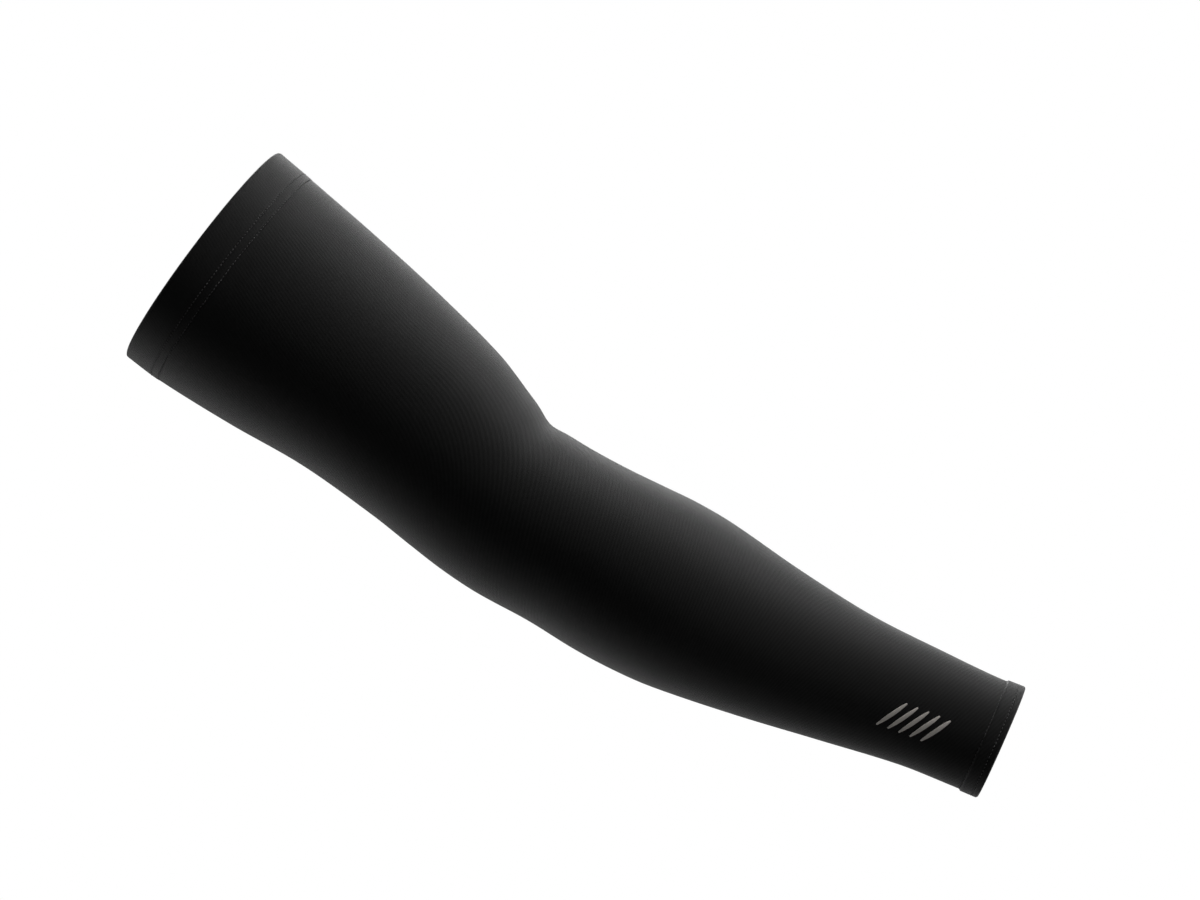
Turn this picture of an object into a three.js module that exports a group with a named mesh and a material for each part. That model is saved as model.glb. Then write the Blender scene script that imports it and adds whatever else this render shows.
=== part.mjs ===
// Knitted arm warmer for a slightly bent right arm, in the shape that it has when worn.
// Millimetres, +Z up. The origin is the centre of the upper arm's opening, and the sleeve hangs
// down from there to the wrist. +X is the side of the elbow's crook, -X the side of the elbow's
// point, -Y the outer side of the arm and +Y the side next to the body.

import * as THREE from "three";

// Driving dimensions
const sleeveLength = 440; // straight from the centre of one opening to the centre of the other
const armWidth = 119.4; // across the upper opening, from the crook's side to the elbow's
const wristWidth = 55.4; // across the narrowest place, beside the wrist hem
const elbowBow = 25.8; // how far the elbow stands off the straight line between the openings
const fabric = 1.2; // one layer of knitted cloth
const armRimToRow = 15.5; // from the upper rim to its nearest row of stitches
const armRowSpacing = 4.1; // between the two rows of stitches of the upper hem
const armHemRise = 0.15; // how far the upper hem stands out from the cloth beside it
const wristRimToRow = 3.4; // from the lower rim to its nearest row of stitches
const wristRowSpacing = 6.2; // between the two rows of stitches of the wrist hem
const wristHemRise = 0.7; // how far the wrist hem stands out from the cloth beside it
const rowDent = 0.4; // how deep a row of stitches pulls the cloth in
const rowDentReach = 1.1; // how far from its row the cloth is pulled in
const joinGap = 0.3; // clearance between two pieces that are sewn or stuck together
const seamOpening = 0.8; // the open line where the panel's two long edges meet
const seamTurn = 96; // degrees round the sleeve from the crook to the seam, by way of the body's side
const allowanceWidth = 5.4; // the two turned-in edges behind the seam
const allowanceThickness = 1.3;
const crookFoldDepth = 1.5; // the short crease in the crook of the elbow
const crookFoldReach = 7; // how far along the sleeve it spreads
const crookFoldAt = 0.408; // share of the sleeve's length
const crookFoldSpread = 44; // degrees round the sleeve
const barCount = 5; // reflective bars above the wrist
const barLength = 17;
const barWidth = 2.1;
const barSpacing = 5.6;
const barSlant = 32; // degrees from straight round the sleeve
const barFilm = 0.3;
const barTipShare = 0.04; // how blunt the bars' pointed ends are, 0 being sharp
const markFromRim = 43; // from the lower rim to the middle of the bars
const markTurn = -104; // degrees round the sleeve from the crook to the middle of the bars

// Fineness of the faceted surfaces
const stepsAround = 44;
const hemFacet = 4;
const rimFoldSteps = 4;
const panelRows = 30;
const allowanceRows = 30;
const allowanceSteps = 2;
const barSteps = 8;

// Sections from the upper opening to the wrist.
// at     share of the sleeve's length, measured on the straight line between the openings
// bow    how far the section's middle lies towards the elbow's point, as a share of elbowBow
// width  0 at the wrist's width and 1 at the arm's width
// depth  from the outer side to the body's side, as a share of the section's own width
// egg    how much fuller the crook's side is than the elbow's side
// tilt   degrees that the crook's side lies lower than the elbow's side
// lean   degrees that the arm's outer side lies higher than the body's side
const sections = [
  { at: 0.0, bow: 0.0, width: 1.0, depth: 0.84, egg: 0.0, tilt: 5.4, lean: 0.0 },
  { at: 0.045, bow: 0.097, width: 0.981, depth: 0.85, egg: 0.0, tilt: 5.9, lean: 0.0 },
  { at: 0.136, bow: 0.234, width: 0.882, depth: 0.87, egg: 0.02, tilt: 7.0, lean: 0.0 },
  { at: 0.227, bow: 0.364, width: 0.745, depth: 0.89, egg: 0.03, tilt: 8.0, lean: 0.0 },
  { at: 0.318, bow: 0.602, width: 0.638, depth: 0.9, egg: 0.05, tilt: 8.0, lean: 0.0 },
  { at: 0.375, bow: 0.84, width: 0.541, depth: 0.93, egg: 0.08, tilt: 7.2, lean: 0.0 },
  { at: 0.409, bow: 0.965, width: 0.49, depth: 0.96, egg: 0.1, tilt: 5.3, lean: 0.0 },
  { at: 0.445, bow: 1.0, width: 0.476, depth: 0.98, egg: 0.1, tilt: 2.7, lean: 0.0 },
  { at: 0.5, bow: 0.955, width: 0.466, depth: 1.0, egg: 0.08, tilt: 0.0, lean: 0.0 },
  { at: 0.55, bow: 0.92, width: 0.5, depth: 1.0, egg: 0.05, tilt: -2.3, lean: 0.0 },
  { at: 0.591, bow: 0.867, width: 0.512, depth: 0.99, egg: 0.03, tilt: -4.0, lean: 0.0 },
  { at: 0.636, bow: 0.808, width: 0.478, depth: 0.97, egg: 0.02, tilt: -4.6, lean: 0.0 },
  { at: 0.727, bow: 0.676, width: 0.302, depth: 0.92, egg: 0.0, tilt: -5.7, lean: 0.0 },
  { at: 0.818, bow: 0.484, width: 0.133, depth: 0.86, egg: 0.0, tilt: -6.4, lean: 1.4 },
  { at: 0.909, bow: 0.222, width: 0.026, depth: 0.8, egg: 0.0, tilt: -7.0, lean: 3.4 },
  { at: 0.966, bow: 0.09, width: 0.0, depth: 0.78, egg: 0.0, tilt: -7.4, lean: 4.6 },
  { at: 1.0, bow: 0.0, width: 0.004, depth: 0.78, egg: 0.0, tilt: -7.6, lean: 5.2 },
];

const hemThickness = 2 * fabric;
const armHemDepth = armRimToRow + armRowSpacing;
const wristHemDepth = wristRimToRow + wristRowSpacing;

// The value of one column at any place, on a smooth curve through the table's rows.
function through(column, at) {
  const last = sections.length - 1;
  let i = 0;
  while (i < last - 1 && sections[i + 1].at < at) i += 1;
  const slope = (k) => {
    const before = sections[Math.max(k - 1, 0)];
    const after = sections[Math.min(k + 1, last)];
    return (after[column] - before[column]) / (after.at - before.at);
  };
  const from = sections[i];
  const to = sections[i + 1];
  const span = to.at - from.at;
  const t = (at - from.at) / span;
  const t2 = t * t;
  const t3 = t2 * t;
  return (
    (2 * t3 - 3 * t2 + 1) * from[column] +
    (t3 - 2 * t2 + t) * span * slope(i) +
    (3 * t2 - 2 * t3) * to[column] +
    (t3 - t2) * span * slope(i + 1)
  );
}

// Half the section's width, before any fold or hem.
function halfWidth(at) {
  return (wristWidth + (armWidth - wristWidth) * through("width", at)) / 2;
}

// The dent of the elbow's crook, which fades along the sleeve and round it.
function crookFold(at, turn) {
  const along = ((at - crookFoldAt) * sleeveLength) / crookFoldReach;
  const round = THREE.MathUtils.radToDeg(Math.atan2(Math.sin(turn), Math.cos(turn)));
  return crookFoldDepth * Math.exp(-along * along - (round / crookFoldSpread) ** 2);
}

// A point of the sleeve: at is the share of the length, turn goes round from the crook towards
// the body's side, and inward is measured from the cloth's outer face.
function skinPoint(at, turn, inward) {
  const tilt = THREE.MathUtils.degToRad(through("tilt", at));
  const across = new THREE.Vector3(Math.cos(tilt), 0, -Math.sin(tilt));
  const width = halfWidth(at);
  const depth = width * through("depth", at);
  const inset = inward + crookFold(at, turn);
  const fullness = 1 + through("egg", at) * Math.cos(turn);
  const point = new THREE.Vector3(0, 0, -at * sleeveLength);
  point.addScaledVector(across, (width - inset) * Math.cos(turn) - elbowBow * through("bow", at));
  point.y = (depth * fullness - inset) * Math.sin(turn);
  point.z -= point.y * Math.tan(THREE.MathUtils.degToRad(through("lean", at)));
  return point;
}

// Six times the volume inside a closed surface, below zero where its faces point inwards.
function signedVolume(points, triangles) {
  const cross = new THREE.Vector3();
  return triangles.reduce(
    (sum, [a, b, c]) => sum + points[a].dot(cross.crossVectors(points[b], points[c])),
    0,
  );
}

// A closed solid from rings of points, where each ring is a closed outline. The rings close on
// each other, or both ends are capped: an outline then goes out along one face and comes back
// along the other, point against point.
function solidFromRings(rings, capped) {
  const count = rings[0].length;
  const points = rings.flat();
  const triangles = [];
  const addQuad = (a, b, c, d) => triangles.push([a, b, c], [a, c, d]);
  const ringPairs = capped ? rings.length - 1 : rings.length;
  for (let i = 0; i < ringPairs; i += 1) {
    const here = i * count;
    const next = ((i + 1) % rings.length) * count;
    for (let j = 0; j < count; j += 1) {
      const k = (j + 1) % count;
      addQuad(here + j, next + j, next + k, here + k);
    }
  }
  if (capped) {
    const end = (rings.length - 1) * count;
    for (let j = 0; j < count / 2 - 1; j += 1) {
      const back = count - 1 - j;
      addQuad(j, j + 1, back - 1, back);
      addQuad(end + back, end + back - 1, end + j + 1, end + j);
    }
  }
  if (signedVolume(points, triangles) < 0) triangles.forEach((triangle) => triangle.reverse());
  const geometry = new THREE.BufferGeometry().setFromPoints(points);
  geometry.setIndex(triangles.flat());
  geometry.computeVertexNormals();
  return geometry;
}

// The outline of a hem cut along the sleeve, as places {along, inward}: along is measured from
// the rim. The cloth is folded round the rim, and each row of stitches pulls it in.
function hemOutline(rimToRow, rowSpacing, rise) {
  const fold = hemThickness / 2;
  const outer = -rise;
  const depth = rimToRow + rowSpacing;
  const outline = [
    { along: depth, inward: outer + rowDent },
    { along: depth - rowDentReach, inward: outer },
    { along: rimToRow + rowDentReach, inward: outer },
    { along: rimToRow, inward: outer + rowDent },
    { along: rimToRow - rowDentReach, inward: outer },
  ];
  const flat = rimToRow - rowDentReach - fold;
  const flatSteps = Math.max(1, Math.round(flat / hemFacet));
  for (let i = 1; i < flatSteps; i += 1) {
    outline.push({ along: fold + flat * (1 - i / flatSteps), inward: outer });
  }
  for (let i = 0; i <= rimFoldSteps; i += 1) {
    const turned = (Math.PI * i) / rimFoldSteps;
    outline.push({
      along: fold * (1 - Math.sin(turned)),
      inward: outer + fold * (1 - Math.cos(turned)),
    });
  }
  outline.push({ along: depth / 2, inward: outer + hemThickness });
  outline.push({ along: depth, inward: outer + hemThickness });
  return outline;
}

// A hem as a ring: placeAlong turns a distance from the rim into a share of the sleeve's length.
function hemRing(outline, placeAlong) {
  const rings = [];
  for (let j = 0; j < stepsAround; j += 1) {
    const turn = THREE.MathUtils.degToRad(seamTurn) + (2 * Math.PI * j) / stepsAround;
    rings.push(outline.map(({ along, inward }) => skinPoint(placeAlong(along), turn, inward)));
  }
  return solidFromRings(rings, false);
}

const fromArmRim = (along) => along / sleeveLength;
const fromWristRim = (along) => 1 - along / sleeveLength;

function armHem() {
  return hemRing(hemOutline(armRimToRow, armRowSpacing, armHemRise), fromArmRim);
}

function wristHem() {
  return hemRing(hemOutline(wristRimToRow, wristRowSpacing, wristHemRise), fromWristRim);
}

// Half of a width that is centred on the seam, as an angle round the sleeve.
function halfAngleAtSeam(at, width) {
  return width / 2 / halfWidth(at);
}

// Shares of the sleeve's length from one hem to the other, in even steps.
function placesBetweenHems(rows) {
  const start = fromArmRim(armHemDepth + joinGap);
  const end = fromWristRim(wristHemDepth + joinGap);
  return Array.from({ length: rows + 1 }, (_, i) => start + ((end - start) * i) / rows);
}

// A wall that follows the sleeve: outline holds its two faces, and turnAt gives the angle of
// each of its steps round the sleeve.
function wall(outer, inner, steps, turnAt) {
  const outline = [...outer, ...inner.toReversed()];
  const rings = [];
  for (let j = 0; j <= steps; j += 1) {
    rings.push(outline.map(({ at, inward }) => skinPoint(at, turnAt(at, j / steps), inward)));
  }
  return solidFromRings(rings, true);
}

// The single cloth panel, wrapped round until its long edges almost meet at the seam. The rows
// of stitches pull its ends in.
function panel() {
  const places = placesBetweenHems(panelRows);
  const dentShare = rowDentReach / sleeveLength;
  places.splice(1, 0, places[0] + dentShare);
  places.splice(-1, 0, places.at(-1) - dentShare);
  const isEnd = (i) => i === 0 || i === places.length - 1;
  const outer = places.map((at, i) => ({ at, inward: isEnd(i) ? rowDent : 0 }));
  const inner = places.map((at) => ({ at, inward: fabric }));
  const seam = THREE.MathUtils.degToRad(seamTurn);
  return wall(outer, inner, stepsAround, (at, share) => {
    const edge = halfAngleAtSeam(at, seamOpening);
    return seam + edge + (2 * Math.PI - 2 * edge) * share;
  });
}

// The turned-in and overlocked edges of the panel, a strip on the inside behind the seam.
function seamAllowance() {
  const places = placesBetweenHems(allowanceRows);
  const near = fabric + joinGap;
  const outer = places.map((at) => ({ at, inward: near }));
  const inner = places.map((at) => ({ at, inward: near + allowanceThickness }));
  const seam = THREE.MathUtils.degToRad(seamTurn);
  return wall(outer, inner, allowanceSteps, (at, share) => {
    return seam + (2 * share - 1) * halfAngleAtSeam(at, allowanceWidth);
  });
}

// One reflective bar, a slanted stroke with pointed ends that lies on the cloth. Its places are
// measured on the cloth from the middle of the row of bars.
function reflectiveBar(index) {
  const slant = THREE.MathUtils.degToRad(barSlant);
  const middle = (index - (barCount - 1) / 2) * barSpacing;
  const markAt = fromWristRim(markFromRim);
  const rings = [];
  for (let i = 0; i <= barSteps; i += 1) {
    const share = i / barSteps;
    const run = (share - 0.5) * barLength;
    const swell = Math.sin(Math.PI * (barTipShare + (1 - 2 * barTipShare) * share));
    const half = (barWidth / 2) * Math.sqrt(swell);
    const corner = (side, inward) => {
      const along = middle + run * Math.sin(slant) + side * half * Math.cos(slant);
      const round = run * Math.cos(slant) - side * half * Math.sin(slant);
      const at = markAt + along / sleeveLength;
      const turn = THREE.MathUtils.degToRad(markTurn) + round / halfWidth(at);
      return skinPoint(at, turn, inward);
    };
    const low = -joinGap;
    const high = -joinGap - barFilm;
    rings.push([corner(-1, low), corner(1, low), corner(1, high), corner(-1, high)]);
  }
  return solidFromRings(rings, true);
}

const knit = new THREE.MeshStandardMaterial({ color: 0x141415, roughness: 0.75, metalness: 0 });
const hemKnit = new THREE.MeshStandardMaterial({ color: 0x171718, roughness: 0.75, metalness: 0 });
const thread = new THREE.MeshStandardMaterial({ color: 0x0d0d0e, roughness: 0.85, metalness: 0 });
const film = new THREE.MeshStandardMaterial({ color: 0x958e87, roughness: 0.4, metalness: 0.3 });

function piece(name, geometry, material) {
  const mesh = new THREE.Mesh(geometry, material);
  mesh.name = name;
  return mesh;
}

const armWarmer = new THREE.Group();
armWarmer.add(piece("upper_arm_hem", armHem(), hemKnit));
armWarmer.add(piece("sleeve_panel", panel(), knit));
armWarmer.add(piece("seam_allowance", seamAllowance(), thread));
armWarmer.add(piece("wrist_hem", wristHem(), hemKnit));
for (let i = 0; i < barCount; i += 1) {
  armWarmer.add(piece(`reflective_bar_${i + 1}`, reflectiveBar(i), film));
}

export default armWarmer;
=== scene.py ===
# Knitted arm warmer for a slightly bent right arm, in the shape that it has when worn.
# Metres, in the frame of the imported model: the origin is the centre of the upper opening and the
# sleeve hangs down from it. +X is the side of the elbow's crook, -X the side of the elbow's
# point, -Y the outer side of the arm and +Y the side next to the body.

import math

import bpy
import numpy as np
from mathutils import Matrix, Vector


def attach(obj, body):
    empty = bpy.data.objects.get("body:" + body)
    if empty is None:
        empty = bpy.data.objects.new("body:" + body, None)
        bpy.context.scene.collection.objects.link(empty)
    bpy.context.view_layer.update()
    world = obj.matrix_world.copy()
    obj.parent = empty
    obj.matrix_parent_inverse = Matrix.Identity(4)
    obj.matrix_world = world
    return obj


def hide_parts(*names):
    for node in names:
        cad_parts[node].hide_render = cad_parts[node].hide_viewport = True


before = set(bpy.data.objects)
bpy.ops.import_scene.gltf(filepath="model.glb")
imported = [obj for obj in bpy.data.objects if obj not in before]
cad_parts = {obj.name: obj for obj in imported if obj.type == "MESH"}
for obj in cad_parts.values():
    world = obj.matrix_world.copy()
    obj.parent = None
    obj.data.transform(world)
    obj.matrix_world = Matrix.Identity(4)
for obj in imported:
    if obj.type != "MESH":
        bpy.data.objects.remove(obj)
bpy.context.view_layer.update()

mm = 0.001

# Sizes of the sleeve, the same as the model's
sleeve_length = 440 * mm
arm_width = 119.4 * mm
wrist_width = 55.4 * mm
elbow_bow = 25.8 * mm
fabric = 1.2 * mm
arm_rim_to_row = 15.5 * mm
arm_row_spacing = 4.1 * mm
arm_hem_rise = 0.15 * mm
wrist_rim_to_row = 3.4 * mm
wrist_row_spacing = 6.2 * mm
wrist_hem_rise = 0.7 * mm
row_dent = 0.22 * mm
row_dent_reach = 0.8 * mm
join_gap = 0.3 * mm
seam_turn = math.radians(96)
allowance_width = 5.4 * mm
allowance_thickness = 1.3 * mm
crook_fold_depth = 1.5 * mm
crook_fold_reach = 7 * mm
crook_fold_at = 0.408
crook_fold_spread = math.radians(44)
bar_count = 5
bar_length = 17 * mm
bar_width = 2.1 * mm
bar_spacing = 5.6 * mm
bar_slant = math.radians(32)
bar_film = 0.3 * mm
bar_tip_share = 0.04
mark_from_rim = 43 * mm
mark_turn = math.radians(-104)

# Sizes that only the fine surface has
seam_gap = 0.1 * mm  # left open between the panel's two edges
seam_roll = 1.0 * mm  # radius with which each edge turns in at the seam
stitch_pitch = 1.65 * mm
stitch_share = 0.66  # of the pitch that one stitch shows on the outer side
thread_radius = 0.24 * mm
looper_radius = 0.15 * mm  # of the threads on the inner side
stitch_lift = 0.12 * mm  # of a stitch's middle over the bottom of the row's dent
stitch_dip = 0.24 * mm  # of its ends under its middle
pucker_height = 0.06 * mm  # between two stitches of a row
pucker_reach = 0.6 * mm
hem_groove_depth = 0.55 * mm  # where the hem's two ends meet at the seam
hem_groove_reach = 0.7 * mm
hem_bulge_height = 0.9 * mm  # inside, over the allowance that is folded in under the hem
hem_bulge_reach = 2.2 * mm
looper_overreach = 0.3 * mm  # past the row of stitches, towards the rim
looper_lift = 0.1 * mm
overlock_pitch = 2.2 * mm
overlock_clearance = 0.1 * mm
allowance_gap = 0.02 * mm

# Faint lines in the knit, drawn as a low bump and as painted shade of the ribs: at is the share of the
# sleeve's length, along and around are how many there are in a metre along the sleeve and round it.
line_columns = ("at", "along", "around")
line_rows = (
    (0.0, 230, 640),
    (0.2, 200, 590),
    (0.27, 80, 500),
    (0.34, 220, 380),
    (0.43, 480, 180),
    (0.55, 680, 130),
    (0.66, 680, 30),
    (0.77, 580, -240),
    (1.0, 560, -260),
)
faint_lines = {name: np.array(values) for name, values in zip(line_columns, zip(*line_rows))}

# Fineness of the meshes
panel_steps_around = 168
panel_rows = 290
hem_steps_per_stitch = 4
hem_outline_step = 0.28 * mm
rim_fold_steps = 12
stitch_points = 7
looper_points_per_stitch = 6
overlock_points_per_loop = 10
allowance_rows = 220
allowance_corners = 24
bar_rows = 41
bar_corners = 20
girth_points = 721
line_count_points = 600

# Sections from the upper opening to the wrist: at is the share of the sleeve's length, bow how
# far the middle lies towards the elbow's point, width 0 at the wrist's and 1 at the arm's, depth
# a share of the section's own width, egg how much fuller the crook's side is, tilt the degrees
# that the crook's side lies lower, and lean those that the outer side lies higher.
section_columns = ("at", "bow", "width", "depth", "egg", "tilt", "lean")
section_rows = (
    (0.0, 0.0, 1.0, 0.84, 0.0, 5.4, 0.0),
    (0.045, 0.097, 0.981, 0.85, 0.0, 5.9, 0.0),
    (0.136, 0.234, 0.882, 0.87, 0.02, 7.0, 0.0),
    (0.227, 0.364, 0.745, 0.89, 0.03, 8.0, 0.0),
    (0.318, 0.602, 0.638, 0.9, 0.05, 8.0, 0.0),
    (0.375, 0.84, 0.541, 0.93, 0.08, 7.2, 0.0),
    (0.409, 0.965, 0.49, 0.96, 0.1, 5.3, 0.0),
    (0.445, 1.0, 0.476, 0.98, 0.1, 2.7, 0.0),
    (0.5, 0.955, 0.466, 1.0, 0.08, 0.0, 0.0),
    (0.55, 0.92, 0.5, 1.0, 0.05, -2.3, 0.0),
    (0.591, 0.867, 0.512, 0.99, 0.03, -4.0, 0.0),
    (0.636, 0.808, 0.478, 0.97, 0.02, -4.6, 0.0),
    (0.727, 0.676, 0.302, 0.92, 0.0, -5.7, 0.0),
    (0.818, 0.484, 0.133, 0.86, 0.0, -6.4, 1.4),
    (0.909, 0.222, 0.026, 0.8, 0.0, -7.0, 3.4),
    (0.966, 0.09, 0.0, 0.78, 0.0, -7.4, 4.6),
    (1.0, 0.0, 0.004, 0.78, 0.0, -7.6, 5.2),
)
sections = {name: np.array(values) for name, values in zip(section_columns, zip(*section_rows))}

hem_thickness = 2 * fabric
arm_hem_depth = arm_rim_to_row + arm_row_spacing
wrist_hem_depth = wrist_rim_to_row + wrist_row_spacing


def through(column, at):
    """One column at any place, on a smooth curve through the table's rows."""
    places, values = sections["at"], sections[column]
    before = np.r_[0, 0 : len(places) - 1]
    after = np.r_[1 : len(places), len(places) - 1]
    slopes = (values[after] - values[before]) / (places[after] - places[before])
    i = np.clip(np.searchsorted(places[1:], at, side="left"), 0, len(places) - 2)
    span = places[i + 1] - places[i]
    t = (at - places[i]) / span
    return (
        (2 * t**3 - 3 * t**2 + 1) * values[i]
        + (t**3 - 2 * t**2 + t) * span * slopes[i]
        + (3 * t**2 - 2 * t**3) * values[i + 1]
        + (t**3 - t**2) * span * slopes[i + 1]
    )


def half_width(at):
    return (wrist_width + (arm_width - wrist_width) * through("width", at)) / 2


def crook_fold(at, turn):
    along = (at - crook_fold_at) * sleeve_length / crook_fold_reach
    around = np.arctan2(np.sin(turn), np.cos(turn)) / crook_fold_spread
    return crook_fold_depth * np.exp(-(along**2) - around**2)


def skin(at, turn, inward):
    """Points of the sleeve. at is the share of its length, turn goes round from the crook by way
    of the body's side, and inward is measured from the cloth's outer face."""
    at, turn, inward = np.broadcast_arrays(np.asarray(at, float), turn, inward)
    tilt = np.radians(through("tilt", at))
    width = half_width(at)
    depth = width * through("depth", at)
    inset = inward + crook_fold(at, turn)
    fullness = 1 + through("egg", at) * np.cos(turn)
    across = (width - inset) * np.cos(turn) - elbow_bow * through("bow", at)
    aside = (depth * fullness - inset) * np.sin(turn)
    down = at * sleeve_length + across * np.sin(tilt)
    down = down + aside * np.tan(np.radians(through("lean", at)))
    return np.stack([across * np.cos(tilt), aside, -down], axis=-1)


def girth_line(at, turn):
    """The length round the cloth from the middle of the panel, opposite the seam, with a sign."""
    at, turn = np.broadcast_arrays(np.asarray(at, float), turn)
    places, which = np.unique(at, return_inverse=True)
    middle = seam_turn - math.pi
    turns = middle + np.linspace(-math.pi, math.pi, girth_points)
    points = skin(places[:, None], turns[None, :], 0.0)
    steps = np.linalg.norm(np.diff(points, axis=1), axis=2)
    run = np.concatenate([np.zeros((len(places), 1)), np.cumsum(steps, axis=1)], axis=1)
    run -= run[:, [len(turns) // 2]]
    found = np.empty(at.shape)
    for k in range(len(places)):
        here = which.reshape(at.shape) == k
        found[here] = np.interp(turn[here], turns, run[k])
    return found


def rib_phase(u, v):
    """Counts the faint slanted lines of the knit. They run steeply on the upper arm, lie nearly
    across the forearm and slant the other way at the wrist."""
    at = v / sleeve_length
    places = np.linspace(-0.1, 1.1, line_count_points)
    along = np.interp(places, faint_lines["at"], faint_lines["along"])
    count = np.cumsum(along) * (places[1] - places[0]) * sleeve_length
    return np.interp(at, places, count) + np.interp(at, faint_lines["at"], faint_lines["around"]) * u


# Meshes

def outward(points, faces):
    """The faces, turned if they point into the solid that they close."""
    a, b, c = points[faces[:, 0]], points[faces[:, 1]], points[faces[:, 2]]
    d = points[faces[:, 3]]
    volume = np.einsum("ij,ij->", a, np.cross(b, c)) + np.einsum("ij,ij->", a, np.cross(c, d))
    return faces if volume > 0 else faces[:, ::-1]


def mesh_piece(name, points, faces, materials, cloth=None, material_index=None):
    """A piece from points and four-sided faces. cloth gives each face corner's place in the
    knitted fabric: along the courses, along the wales and the count of faint lines."""
    mesh = bpy.data.meshes.new(name)
    mesh.vertices.add(len(points))
    mesh.vertices.foreach_set("co", np.asarray(points, np.float32).ravel())
    mesh.loops.add(faces.size)
    mesh.loops.foreach_set("vertex_index", faces.ravel().astype(np.int32))
    mesh.polygons.add(len(faces))
    mesh.polygons.foreach_set("loop_start", np.arange(0, faces.size, 4, dtype=np.int32))
    for material in materials:
        mesh.materials.append(material)
    if material_index is not None:
        mesh.polygons.foreach_set("material_index", material_index.astype(np.int32))
    mesh.update(calc_edges=True)
    if cloth is not None:
        places = mesh.attributes.new("cloth", "FLOAT_VECTOR", "CORNER")
        places.data.foreach_set("vector", np.asarray(cloth, np.float32).ravel())
    mesh.polygons.foreach_set("use_smooth", np.ones(len(mesh.polygons), bool))
    piece = bpy.data.objects.new(name, mesh)
    bpy.context.scene.collection.objects.link(piece)
    return piece


def band_faces(rings, count, closed):
    """Quads between neighbouring rings of count points, each ring a closed outline. The rings
    close on each other, or the two ends are capped by strips from one face to the other."""
    steps = rings if closed else rings - 1
    i = np.arange(steps)[:, None]
    j = np.arange(count)[None, :]
    corner = lambda di, dj: ((i + di) % rings) * count + (j + dj) % count
    quads = np.stack([corner(0, 0), corner(1, 0), corner(1, 1), corner(0, 1)], axis=-1)
    quads = quads.reshape(-1, 4)
    if closed:
        return quads, None
    j = np.arange(count // 2 - 1)
    cap = np.stack([j, j + 1, count - 2 - j, count - 1 - j], axis=-1)
    end = (rings - 1) * count
    return quads, np.concatenate([cap, end + cap[:, ::-1]])


def cloth_solid(name, rings, round_line, along_line, closed, materials, is_inner):
    """A solid of cloth. rings holds the points, round_line and along_line their places in the
    fabric, with one more ring where the rings close, and is_inner tells the inner face's quads."""
    count = rings.shape[1]
    quads, caps = band_faces(len(rings), count, closed)
    faces = quads if caps is None else np.concatenate([quads, caps])
    steps = len(rings) if closed else len(rings) - 1
    i = np.arange(steps)[:, None]
    j = np.arange(count)[None, :]
    k = (j + 1) % count
    u = np.stack([round_line[i, j], round_line[i + 1, j], round_line[i + 1, k], round_line[i, k]], -1)
    v = np.stack([along_line[i, j], along_line[i + 1, j], along_line[i + 1, k], along_line[i, k]], -1)
    u, v = u.reshape(-1, 4), v.reshape(-1, 4)
    index = np.broadcast_to(is_inner[None, :], (steps, count)).reshape(-1).astype(int)
    if caps is not None:
        u = np.concatenate([u, round_line.reshape(-1)[caps]])
        v = np.concatenate([v, along_line.reshape(-1)[caps]])
        index = np.concatenate([index, np.zeros(len(caps), int)])
    points = rings.reshape(-1, 3)
    turned = outward(points, faces)
    if turned is not faces:
        u, v = u[:, ::-1], v[:, ::-1]
    cloth = np.stack([u, v, rib_phase(u, v)], axis=-1)
    return mesh_piece(name, points, turned, materials, cloth, index)


def tube_points(centres, sides_dir, up_dir, radius, sides):
    """Rings of a tube round centres, from two directions across it."""
    angles = np.arange(sides) * 2 * math.pi / sides
    ring = sides_dir[..., None, :] * np.cos(angles)[:, None]
    ring = ring + up_dir[..., None, :] * np.sin(angles)[:, None]
    radius = np.broadcast_to(radius, centres.shape[:-1])
    return centres[..., None, :] + ring * radius[..., None, None]


def tubes(name, centres, sideways, radius, material, sides=6, closed=False):
    """One piece of many tubes: centres holds a row of points for each tube, and sideways a
    direction across each point. A tube closes on itself or its ends run to a point."""
    ahead = np.roll(centres, -1, axis=1) - np.roll(centres, 1, axis=1)
    if not closed:
        ahead[:, 0] = centres[:, 1] - centres[:, 0]
        ahead[:, -1] = centres[:, -1] - centres[:, -2]
    ahead /= np.linalg.norm(ahead, axis=-1, keepdims=True)
    across = np.cross(ahead, sideways)
    across /= np.linalg.norm(across, axis=-1, keepdims=True)
    upward = np.cross(across, ahead)
    points = tube_points(centres, across, upward, radius, sides)
    number, length = centres.shape[:2]
    steps = length if closed else length - 1
    i = np.arange(steps)[:, None]
    j = np.arange(sides)[None, :]
    corner = lambda di, dj: ((i + di) % length) * sides + (j + dj) % sides
    quads = np.stack([corner(0, 0), corner(0, 1), corner(1, 1), corner(1, 0)], axis=-1)
    quads = quads.reshape(-1, 4)
    if not closed:
        j = np.arange(sides // 2 - 1)
        cap = np.stack([j, j + 1, sides - 2 - j, sides - 1 - j], axis=-1)
        quads = np.concatenate([quads, cap[:, ::-1], (length - 1) * sides + cap])
    faces = np.concatenate([quads + n * length * sides for n in range(number)])
    return mesh_piece(name, points.reshape(-1, 3), outward(points.reshape(-1, 3), faces), [material])


# Materials

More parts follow.
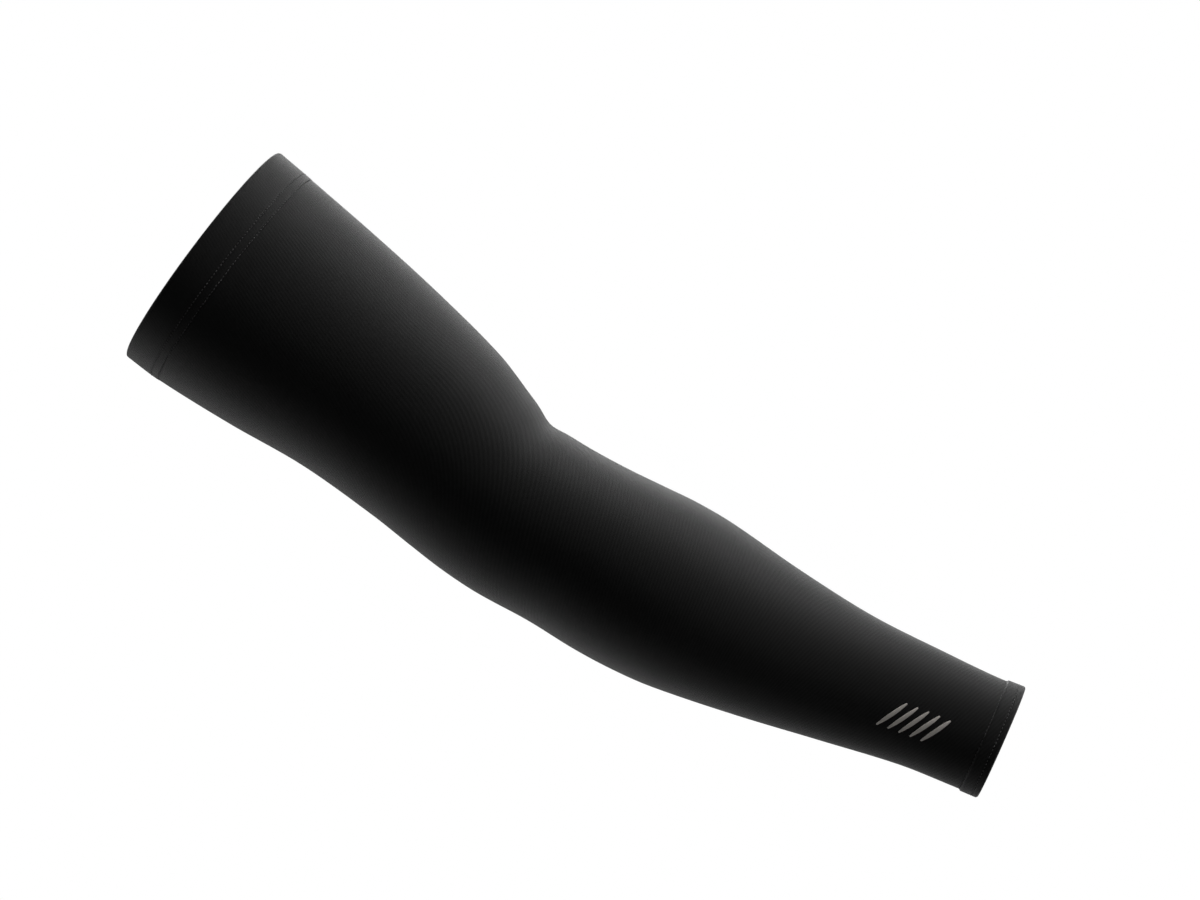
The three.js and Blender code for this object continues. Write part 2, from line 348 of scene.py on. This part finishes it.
class Nodes:
    """Short ways to build a material's nodes."""

    def __init__(self, name):
        self.material = bpy.data.materials.new(name)
        self.material.use_nodes = True
        self.tree = self.material.node_tree
        self.shader = self.tree.nodes["Principled BSDF"]

    def node(self, kind, inputs=(), **settings):
        made = self.tree.nodes.new(kind)
        for name, value in settings.items():
            setattr(made, name, value)
        for key, value in dict(inputs).items():
            socket = made.inputs[key]
            if isinstance(value, bpy.types.NodeSocket):
                self.tree.links.new(value, socket)
            else:
                socket.default_value = value
        return made

    def math(self, operation, a, b=None):
        inputs = {0: a} if b is None else {0: a, 1: b}
        return self.node("ShaderNodeMath", inputs, operation=operation).outputs[0]

    def range(self, value, low, high, to_low=0.0, to_high=1.0):
        inputs = {"Value": value, "From Min": low, "From Max": high, "To Min": to_low, "To Max": to_high}
        return self.node("ShaderNodeMapRange", inputs).outputs["Result"]

    def noise(self, place, scale, detail=2.0):
        inputs = {"Vector": place, "Scale": scale, "Detail": detail}
        return self.node("ShaderNodeTexNoise", inputs).outputs["Fac"]

    def mix(self, share, dark, light):
        inputs = {"Factor": share, "A": dark, "B": light}
        made = self.node("ShaderNodeMix", data_type="RGBA")
        for socket in made.inputs:
            if socket.name in inputs and socket.enabled:
                value = inputs[socket.name]
                if isinstance(value, bpy.types.NodeSocket):
                    self.tree.links.new(value, socket)
                else:
                    socket.default_value = value
        return next(s for s in made.outputs if s.enabled)

    def bump(self, height, distance, strength=1.0, before=None):
        inputs = {"Height": height, "Distance": distance, "Strength": strength}
        if before is not None:
            inputs["Normal"] = before
        return self.node("ShaderNodeBump", inputs).outputs["Normal"]

    def wire(self, name, value):
        if isinstance(value, bpy.types.NodeSocket):
            self.tree.links.new(value, self.shader.inputs[name])
        else:
            self.shader.inputs[name].default_value = value


def grey(value, warmth=0.0):
    return (value * (1 + warmth), value, value * (1 - warmth), 1.0)


wale_pitch = 0.75 * mm
course_pitch = 0.6 * mm
loop_relief = 0.05 * mm
line_relief = 0.016 * mm
# Strengths of the painted shade of the ribs in the base colour and the sheen
rib_shade_everywhere = 0.05
strong_rib_shade = 0.12
weak_rib_shade = 0.01


def knit_height(make, wale_place, course_place):
    """The stitches of a plain knit: ridges along the wales, each made of a column of V shapes."""
    wale = make.math("PINGPONG", make.math("DIVIDE", wale_place, wale_pitch), 0.5)
    course = make.math("DIVIDE", course_place, course_pitch)
    slanted = make.math("ADD", make.math("MULTIPLY", wale, 1.4), course)
    loops = make.math("SINE", make.math("MULTIPLY", slanted, 2 * math.pi))
    ridge = make.math("SINE", make.math("MULTIPLY", wale, 2 * math.pi))
    return make.math("ADD", make.math("MULTIPLY", loops, 0.35), ridge)


def knit_material(name, dark, light, sheen, roughness):
    make = Nodes(name)
    place = make.node("ShaderNodeAttribute", attribute_name="cloth").outputs["Vector"]
    split = make.node("ShaderNodeSeparateXYZ", {0: place})
    height = knit_height(make, split.outputs[0], split.outputs[1])
    lines = make.math("SINE", make.math("MULTIPLY", split.outputs[2], 2 * math.pi))
    # The lines are a low bump everywhere and also painted shade of the ribs in the base colour and the
    # sheen; this painted shade shows most on the forearm's outer side
    side = make.math("ABSOLUTE", split.outputs[0])
    outer_side = make.range(side, 12 * mm, 35 * mm, strong_rib_shade, weak_rib_shade)
    forearm = make.range(split.outputs[1], 120 * mm, 200 * mm)
    rib_shade_weight = make.math("ADD", make.math("MULTIPLY", forearm, outer_side), rib_shade_everywhere)
    faint = make.math("MULTIPLY", lines, rib_shade_weight)
    # Uneven dyeing and lint, from a few centimetres down to single loops
    patches = make.noise(place, 60.0, 3.0)
    lint = make.noise(place, 900.0, 2.0)
    dye_and_painted_shade = make.math("ADD", make.math("MULTIPLY", patches, 0.5), make.math("MULTIPLY", lint, 0.2))
    # Painted shade of the loops: the base colour is a little lighter on their tops and darker between
    # them
    dye_and_painted_shade = make.math("ADD", dye_and_painted_shade, make.math("MULTIPLY", height, 0.1))
    # Painted shade of the ribs in the base colour
    dye_and_painted_shade = make.math("ADD", dye_and_painted_shade, faint)
    make.wire("Base Color", make.mix(dye_and_painted_shade, dark, light))
    make.wire("Roughness", make.range(lint, 0.2, 0.8, roughness - 0.04, roughness + 0.04))
    make.wire("Specular IOR Level", 0.15)
    # The sheen rises and falls with the same painted shade of the ribs
    make.wire("Sheen Weight", make.math("MULTIPLY", make.math("ADD", faint, 1.0), sheen))
    make.wire("Sheen Roughness", 0.45)
    make.wire("Sheen Tint", grey(1.0))
    fine = make.bump(height, loop_relief, 0.5)
    make.wire("Normal", make.bump(lines, line_relief, 0.5, fine))
    return make.material


def fleece_material():
    """The brushed inner face: short soft pile."""
    make = Nodes("brushed_inside")
    place = make.node("ShaderNodeAttribute", attribute_name="cloth").outputs["Vector"]
    pile = make.noise(place, 1400.0, 4.0)
    tufts = make.noise(place, 260.0, 3.0)
    make.wire("Base Color", make.mix(tufts, grey(0.02), grey(0.045)))
    make.wire("Roughness", 0.92)
    make.wire("Specular IOR Level", 0.1)
    make.wire("Sheen Weight", 0.25)
    make.wire("Sheen Roughness", 0.6)
    height = make.math("ADD", pile, make.math("MULTIPLY", tufts, 0.6))
    make.wire("Normal", make.bump(height, 0.3 * mm, 0.7))
    return make.material


def thread_material():
    make = Nodes("sewing_thread")
    place = make.node("ShaderNodeNewGeometry").outputs["Position"]
    fibre = make.noise(place, 3000.0, 3.0)
    make.wire("Base Color", make.mix(fibre, grey(0.02), grey(0.045)))
    make.wire("Roughness", 0.6)
    make.wire("Sheen Weight", 0.3)
    make.wire("Sheen Roughness", 0.5)
    make.wire("Normal", make.bump(fibre, 0.05 * mm, 0.6))
    return make.material


def film_material():
    """Grey heat-pressed film with the fine grain of its glass beads."""
    make = Nodes("beaded_film")
    place = make.node("ShaderNodeNewGeometry").outputs["Position"]
    beads = make.node("ShaderNodeTexVoronoi", {"Vector": place, "Scale": 5200.0}).outputs["Distance"]
    worn = make.noise(place, 420.0, 3.0)
    make.wire("Base Color", make.mix(worn, (0.86, 0.8, 0.74, 1), (1.0, 0.94, 0.88, 1)))
    make.wire("Roughness", make.range(worn, 0.3, 0.7, 0.42, 0.56))
    make.wire("Metallic", 0.15)
    # Painted glow: the film gives off a little light of its own, in place of the light that its beads
    # send straight back
    make.wire("Emission Color", grey(1.0, 0.06))
    make.wire("Emission Strength", 0.02)
    make.wire("Normal", make.bump(beads, 0.05 * mm, 0.35))
    return make.material


knit = knit_material("fine_knit", grey(0.005), grey(0.0145), 0.4, 0.65)
hem_knit = knit_material("folded_knit", grey(0.0055), grey(0.016), 0.44, 0.65)
fleece = fleece_material()
thread = thread_material()
film = film_material()


def put(piece, slot, *nodes):
    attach(piece, "root")
    if nodes:
        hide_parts(*nodes)
    return piece


# The panel

def seam_lip(distance):
    """How deep the cloth's outer face turns in near the seam, at a distance from its edge."""
    left = np.clip(seam_roll - distance, 0.0, seam_roll)
    return seam_roll - np.sqrt(seam_roll**2 - left**2)


def stitch_row_dent(distance):
    """How deep a row of stitches pulls the cloth in, at a distance from the row."""
    return row_dent * np.exp(-((distance / (0.5 * row_dent_reach)) ** 2))


def from_arm_rim(along):
    return along / sleeve_length


def from_wrist_rim(along):
    return 1 - along / sleeve_length


def crowd(share, ends):
    """Spreads even shares from 0 to 1 so that they are closer together near both ends."""
    return share - ends * np.sin(2 * math.pi * share) / (2 * math.pi)


def make_panel():
    start = from_arm_rim(arm_hem_depth)
    end = from_wrist_rim(wrist_hem_depth)
    places = start + (end - start) * crowd(np.linspace(0, 1, panel_rows + 1), ends=0.85)
    outline = np.concatenate([places, places[::-1]])
    inner = np.concatenate([np.zeros(len(places), bool), np.ones(len(places), bool)])
    share = crowd(np.linspace(0, 1, panel_steps_around + 1), ends=0.9)
    edge = seam_gap / 2 / half_width(outline)
    turn = seam_turn + edge[None, :] + (2 * math.pi - 2 * edge[None, :]) * share[:, None]
    turn = turn - 2 * math.pi
    near_seam = np.minimum(share, 1 - share)[:, None] * 2 * math.pi * half_width(outline)[None, :]
    dent = stitch_row_dent((outline - start) * sleeve_length)
    dent = dent + stitch_row_dent((end - outline) * sleeve_length)
    outer_depth = dent[None, :] + seam_lip(near_seam)
    inward = np.where(inner[None, :], fabric, outer_depth)
    at = np.broadcast_to(outline[None, :], turn.shape)
    rings = skin(at, turn, inward)
    u = girth_line(at, turn)
    v = at * sleeve_length
    # The strip over the panel's edge at the wrist has the outer side's material
    quads_inner = inner.copy()
    quads_inner[len(places) - 1] = False
    piece = cloth_solid("sleeve_cloth", rings, u, v, False, [knit, fleece], quads_inner)
    return put(piece, "knit", "sleeve_panel")


# The hems

def hem_outline(rim_to_row, row_spacing, rise):
    """The outline of a hem cut along the sleeve: distances from the rim and depths from the
    cloth's outer face, out along the outer side, round the fold and back along the inner one."""
    fold = hem_thickness / 2
    depth = rim_to_row + row_spacing
    outer_along = np.arange(depth, fold, -hem_outline_step)
    dent = stitch_row_dent(outer_along - depth) + stitch_row_dent(outer_along - rim_to_row)
    settle = rise * np.clip((depth - outer_along) / row_dent_reach, 0, 1)
    outer_inward = dent - settle
    turned = np.linspace(0, math.pi, rim_fold_steps + 1)
    fold_along = fold * (1 - np.sin(turned))
    fold_inward = fold * (1 - np.cos(turned)) - rise
    inner_along = np.linspace(fold, depth, len(outer_along) // 2 + 1)[1:]
    inner_inward = np.full(len(inner_along), hem_thickness - rise)
    along = np.concatenate([outer_along, fold_along, inner_along])
    inward = np.concatenate([outer_inward, fold_inward, inner_inward])
    is_inner = np.arange(len(along)) >= len(outer_along) + rim_fold_steps
    return along, inward, is_inner


def hem_bulge(distance):
    """How much thicker the hem is inside, at a distance from the seam."""
    return hem_bulge_height * np.exp(-((distance / hem_bulge_reach) ** 4))


def stitch_count(at):
    girth = girth_line(at, seam_turn) - girth_line(at, seam_turn - 2 * math.pi)
    return int(round(float(girth) / stitch_pitch))


def make_hem(name, node, rim_to_row, row_spacing, rise, place_along):
    along, inward, is_inner = hem_outline(rim_to_row, row_spacing, rise)
    at = place_along(along)
    depth = rim_to_row + row_spacing
    count = stitch_count(place_along(rim_to_row))
    steps = count * hem_steps_per_stitch
    share = np.linspace(0, 1, steps + 1)
    turn = seam_turn - 2 * math.pi + 2 * math.pi * share
    distance = np.minimum(share, 1 - share)[:, None] * 2 * math.pi * half_width(at)[None, :]
    groove = hem_groove_depth * np.exp(-((distance / hem_groove_reach) ** 2))
    # Between two stitches of a row the cloth swells up again
    beat = 0.5 - 0.5 * np.cos(2 * math.pi * share * count)
    near_row = np.exp(-(((along - depth) / pucker_reach) ** 2))
    near_row = near_row + np.exp(-(((along - rim_to_row) / pucker_reach) ** 2))
    swell = pucker_height * (0.5 - beat[:, None]) * near_row[None, :]
    change = np.where(is_inner[None, :], hem_bulge(distance), groove - swell)
    depths = inward[None, :] + change
    rings = skin(at[None, :], turn[:, None], depths)
    u = girth_line(np.broadcast_to(at[None, :], depths.shape), turn[:, None] + 0 * depths)
    signed = np.where(is_inner, -along, along)
    v = (signed if place_along is from_arm_rim else sleeve_length - signed)[None, :] + 0 * depths
    piece = cloth_solid(name, rings[:-1], u, v, True, [hem_knit, fleece], is_inner)
    return put(piece, "hem_knit", node)


# Stitches

def surface_normal(at, turn):
    """Which way the cloth's outer face looks."""
    small, deeper = 1e-4, 10 * mm
    along = skin(at + small, turn, 0.0) - skin(at - small, turn, 0.0)
    around = skin(at, turn + small, 0.0) - skin(at, turn - small, 0.0)
    normal = np.cross(around, along)
    normal /= np.linalg.norm(normal, axis=-1, keepdims=True)
    outward_hint = skin(at, turn, 0.0) - skin(at, turn, deeper)
    flip = np.sign(np.sum(normal * outward_hint, axis=-1, keepdims=True))
    return normal * flip


def make_rows(name, rim_to_row, row_spacing, rise, place_along):
    """The two rows of stitches of a hem, each stitch a short thread that dips into the cloth at
    both ends."""
    across = np.linspace(-1, 1, stitch_points)
    swelling = np.sqrt(np.clip(1.02 - across**2, 0, 1))
    tubes_centres, tubes_normals = [], []
    for row in (rim_to_row, rim_to_row + row_spacing):
        at = place_along(row)
        count = stitch_count(place_along(rim_to_row))
        middle = seam_turn + 2 * math.pi * (np.arange(count) + 0.5) / count
        reach = math.pi / count * stitch_share
        turn = middle[:, None] + across[None, :] * reach
        seat = row_dent - (rise if row == rim_to_row else 0.0) - stitch_lift
        inward = seat + stitch_dip * across**4
        places = np.full_like(turn, at)
        tubes_centres.append(skin(places, turn, inward[None, :] + 0 * turn))
        tubes_normals.append(surface_normal(places, turn))
    centres = np.concatenate(tubes_centres)
    normals = np.concatenate(tubes_normals)
    radius = thread_radius * swelling[None, :] + 0 * centres[..., 0]
    return put(tubes(name, centres, normals, radius, thread), "thread")


def make_looper(name, rim_to_row, row_spacing, rise, place_along):
    """The looper thread on the hem's inner side, zigzagging from one row to the other."""
    count = stitch_count(place_along(rim_to_row))
    steps = count * looper_points_per_stitch
    phase = np.arange(steps) / looper_points_per_stitch
    swing = 0.5 - 0.5 * np.cos(2 * math.pi * phase)
    along = rim_to_row - looper_overreach + (row_spacing + looper_overreach) * swing
    turn = seam_turn + 2 * math.pi * np.arange(steps) / steps
    distance = np.abs(np.angle(np.exp(1j * (turn - seam_turn)))) * half_width(place_along(along))
    lift = looper_lift * np.sin(2 * math.pi * phase)
    inward = hem_thickness - rise + hem_bulge(distance) + looper_radius * 0.6 + lift
    at = place_along(along)
    centres = skin(at, turn, inward)[None]
    normals = surface_normal(at, turn)[None]
    radius = np.full(centres.shape[:2], looper_radius)
    return put(tubes(name, centres, normals, radius, thread, closed=True), "thread")


# The seam's allowance on the inner side

def allowance_places(rows):
    start = from_arm_rim(arm_hem_depth + join_gap)
    end = from_wrist_rim(wrist_hem_depth + join_gap)
    return np.linspace(start, end, rows)


def make_allowance():
    """Two layers of cloth, rounded at their edges, flat against the inner face."""
    places = allowance_places(allowance_rows)
    half = allowance_width / 2
    thick = allowance_thickness
    angles = np.linspace(0, 2 * math.pi, allowance_corners, endpoint=False)
    offset = np.sign(np.cos(angles)) * np.abs(np.cos(angles)) ** 0.5 * half
    depth = thick / 2 + np.sign(np.sin(angles)) * np.abs(np.sin(angles)) ** 0.6 * thick / 2
    at = places[:, None] + 0 * angles[None, :]
    turn = seam_turn + offset[None, :] / half_width(at)
    rings = skin(at, turn, fabric + allowance_gap + depth[None, :])
    u = 0 * at + offset[None, :]
    v = at * sleeve_length
    inner = np.zeros(len(angles), bool)
    piece = cloth_solid("seam_allowance_cloth", rings, u, v, False, [fleece, fleece], inner)
    return put(piece, "thread", "seam_allowance")


def make_overlock():
    """The overlocking threads, which wrap the allowance's edges."""
    length = sleeve_length - arm_hem_depth - wrist_hem_depth
    count = int(length / overlock_pitch)
    steps = count * overlock_points_per_loop + 1
    phase = np.arange(steps) / overlock_points_per_loop
    swing = -np.cos(2 * math.pi * phase)
    half = allowance_width / 2
    offset = (half + overlock_clearance) * np.sign(swing) * np.abs(swing) ** 0.7
    hug = np.clip((np.abs(offset) / half - 0.75) / 0.3, 0, 1)
    inward = fabric + allowance_thickness + overlock_clearance - allowance_thickness * 0.6 * hug**2
    ends = allowance_places(2)
    at = ends[0] + (ends[1] - ends[0]) * np.arange(steps) / (steps - 1)
    turn = seam_turn + offset / half_width(at)
    centres = skin(at, turn, inward)[None]
    normals = surface_normal(at, turn)[None]
    radius = np.full(centres.shape[:2], looper_radius)
    return put(tubes("overlock_thread", centres, normals, radius, thread), "thread")


# The reflective bars

def make_bar(index):
    """A thin film with a low domed face, pressed onto the cloth."""
    middle = (index - (bar_count - 1) / 2) * bar_spacing
    mark_at = from_wrist_rim(mark_from_rim)
    share = crowd(np.linspace(0, 1, bar_rows), ends=0.7)[:, None]
    run = (share - 0.5) * bar_length
    swell = np.sin(math.pi * (bar_tip_share + (1 - 2 * bar_tip_share) * share))
    half = bar_width / 2 * np.sqrt(swell)
    angles = np.linspace(0, 2 * math.pi, bar_corners, endpoint=False)[None, :]
    side = np.sign(np.cos(angles)) * np.abs(np.cos(angles)) ** 0.7
    lift = np.sign(np.sin(angles)) * np.abs(np.sin(angles)) ** 0.5
    inward = -bar_film * (0.45 + 0.55 * lift)
    along = middle + run * math.sin(bar_slant) + side * half * math.cos(bar_slant)
    around = run * math.cos(bar_slant) - side * half * math.sin(bar_slant)
    at = mark_at + along / sleeve_length
    turn = mark_turn + around / half_width(at)
    rings = skin(at, turn, inward + 0 * at)
    faces, caps = band_faces(len(rings), rings.shape[1], False)
    faces = np.concatenate([faces, caps])
    points = rings.reshape(-1, 3)
    name = f"reflective_bar_{index + 1}"
    piece = mesh_piece(name + "_film", points, outward(points, faces), [film])
    return put(piece, "reflective_film", name)


arm_hem_sizes = (arm_rim_to_row, arm_row_spacing, arm_hem_rise, from_arm_rim)
wrist_hem_sizes = (wrist_rim_to_row, wrist_row_spacing, wrist_hem_rise, from_wrist_rim)

sleeve_cloth = make_panel()
make_hem("upper_arm_hem_cloth", "upper_arm_hem", *arm_hem_sizes)
make_hem("wrist_hem_cloth", "wrist_hem", *wrist_hem_sizes)
make_rows("upper_arm_stitches", *arm_hem_sizes)
make_rows("wrist_stitches", *wrist_hem_sizes)
make_looper("upper_arm_looper_thread", *arm_hem_sizes)
make_looper("wrist_looper_thread", *wrist_hem_sizes)
make_allowance()
make_overlock()
for index in range(bar_count):
    make_bar(index)

# The cut of the panel, before the cloth was stretched over its worn shape
worn_stretch = 1.12
top_girth = 2 * float(girth_line(0.0, seam_turn)) / worn_stretch
cut_places = np.linspace(0, 1, 50)
cut_area = float(np.mean(2 * girth_line(cut_places, seam_turn))) / worn_stretch * sleeve_length

# Floor, light and camera

picture_slant = math.atan2(0.52188, 0.85302)  # the sleeve's axis, below the picture's horizontal
camera_distance = 1.703
camera_lens = 108.66
aim = Vector((0.018835, 0.0, -0.20718))
picture_right = Vector((math.sin(picture_slant), 0, -math.cos(picture_slant)))
picture_up = Vector((math.cos(picture_slant), 0, math.sin(picture_slant)))
away = Vector((0, 1, 0))

camera = bpy.data.objects.new("camera", bpy.data.cameras.new("camera"))
camera.data.lens = camera_lens
camera.data.sensor_width = 36
camera.location = aim - away * camera_distance
camera.rotation_mode = "QUATERNION"
camera.rotation_quaternion = Matrix((picture_right, picture_up, -away)).transposed().to_quaternion()
bpy.context.scene.collection.objects.link(camera)
bpy.context.scene.camera = camera


def make_floor():
    half, level = 9.0, -2.4
    corners = [(-half, -half, level), (half, -half, level), (half, half, level), (-half, half, level)]
    mesh = bpy.data.meshes.new("floor")
    mesh.from_pydata(corners, [], [(0, 1, 2, 3)])
    make = Nodes("floor")
    place = make.node("ShaderNodeNewGeometry").outputs["Position"]
    make.wire("Base Color", make.mix(make.noise(place, 3.0), grey(0.88), grey(0.92)))
    make.wire("Roughness", 0.9)
    make.wire("Emission Color", grey(1.0))
    make.wire("Emission Strength", 1.2)
    mesh.materials.append(make.material)
    floor = bpy.data.objects.new("floor", mesh)
    floor.visible_diffuse = False
    floor.visible_glossy = False
    bpy.context.scene.collection.objects.link(floor)


make_floor()

# Softboxes round the sleeve. round is the angle from the camera by way of the picture's top,
# out the distance from the sleeve and along the place towards the wrist, both in metres.
softbox_length = 1.6
softbox_width = 0.8
softboxes = (
    {"name": "crook_front", "round": 70, "out": 1.5, "along": 1.2, "power": 30},
    {"name": "crook_side", "round": 120, "out": 1.5, "along": 1.2, "power": 22},
    {"name": "crook_back", "round": 150, "out": 1.5, "along": 0.0, "power": 15},
    {"name": "elbow_side", "round": -90, "out": 1.5, "along": 0.0, "power": 3},
    {"name": "elbow_back", "round": -130, "out": 1.5, "along": -1.0, "power": 7},
    {"name": "elbow_rim", "round": -150, "out": 1.5, "along": 0.0, "power": 3},
    {"name": "opening", "round": 110, "out": 0.5, "along": -1.6, "power": 4},
)


def facing(offset):
    """The turn of a softbox that looks back along its offset, its long side along the sleeve."""
    back = offset.normalized()
    side = (picture_right - back * back.dot(picture_right)).normalized()
    return Matrix((side, back.cross(side), back)).transposed().to_quaternion()


for box in softboxes:
    light = bpy.data.lights.new(box["name"], "AREA")
    light.shape = "RECTANGLE"
    light.size, light.size_y = softbox_length, softbox_width
    light.energy = box["power"]
    lamp = bpy.data.objects.new(box["name"], light)
    angle = math.radians(box["round"])
    offset = (picture_up * math.sin(angle) - away * math.cos(angle)) * box["out"]
    offset = offset + picture_right * box["along"]
    lamp.location = aim + offset
    lamp.rotation_mode = "QUATERNION"
    lamp.rotation_quaternion = facing(offset)
    lamp.visible_camera = False
    bpy.context.scene.collection.objects.link(lamp)


def make_world():
    """White behind the sleeve, though it hardly lights the sleeve itself."""
    seen, cast = 1.0, 0.01
    world = bpy.data.worlds.new("studio")
    bpy.context.scene.world = world
    world.use_nodes = True
    nodes = world.node_tree.nodes
    background = nodes["Background"]
    path = nodes.new("ShaderNodeLightPath")
    strength = nodes.new("ShaderNodeMapRange")
    strength.inputs["To Min"].default_value = cast
    strength.inputs["To Max"].default_value = seen
    world.node_tree.links.new(path.outputs["Is Camera Ray"], strength.inputs["Value"])
    world.node_tree.links.new(strength.outputs["Result"], background.inputs["Strength"])
    background.inputs["Color"].default_value = (1, 1, 1, 1)


make_world()
bpy.context.scene.view_settings.view_transform = "Standard"
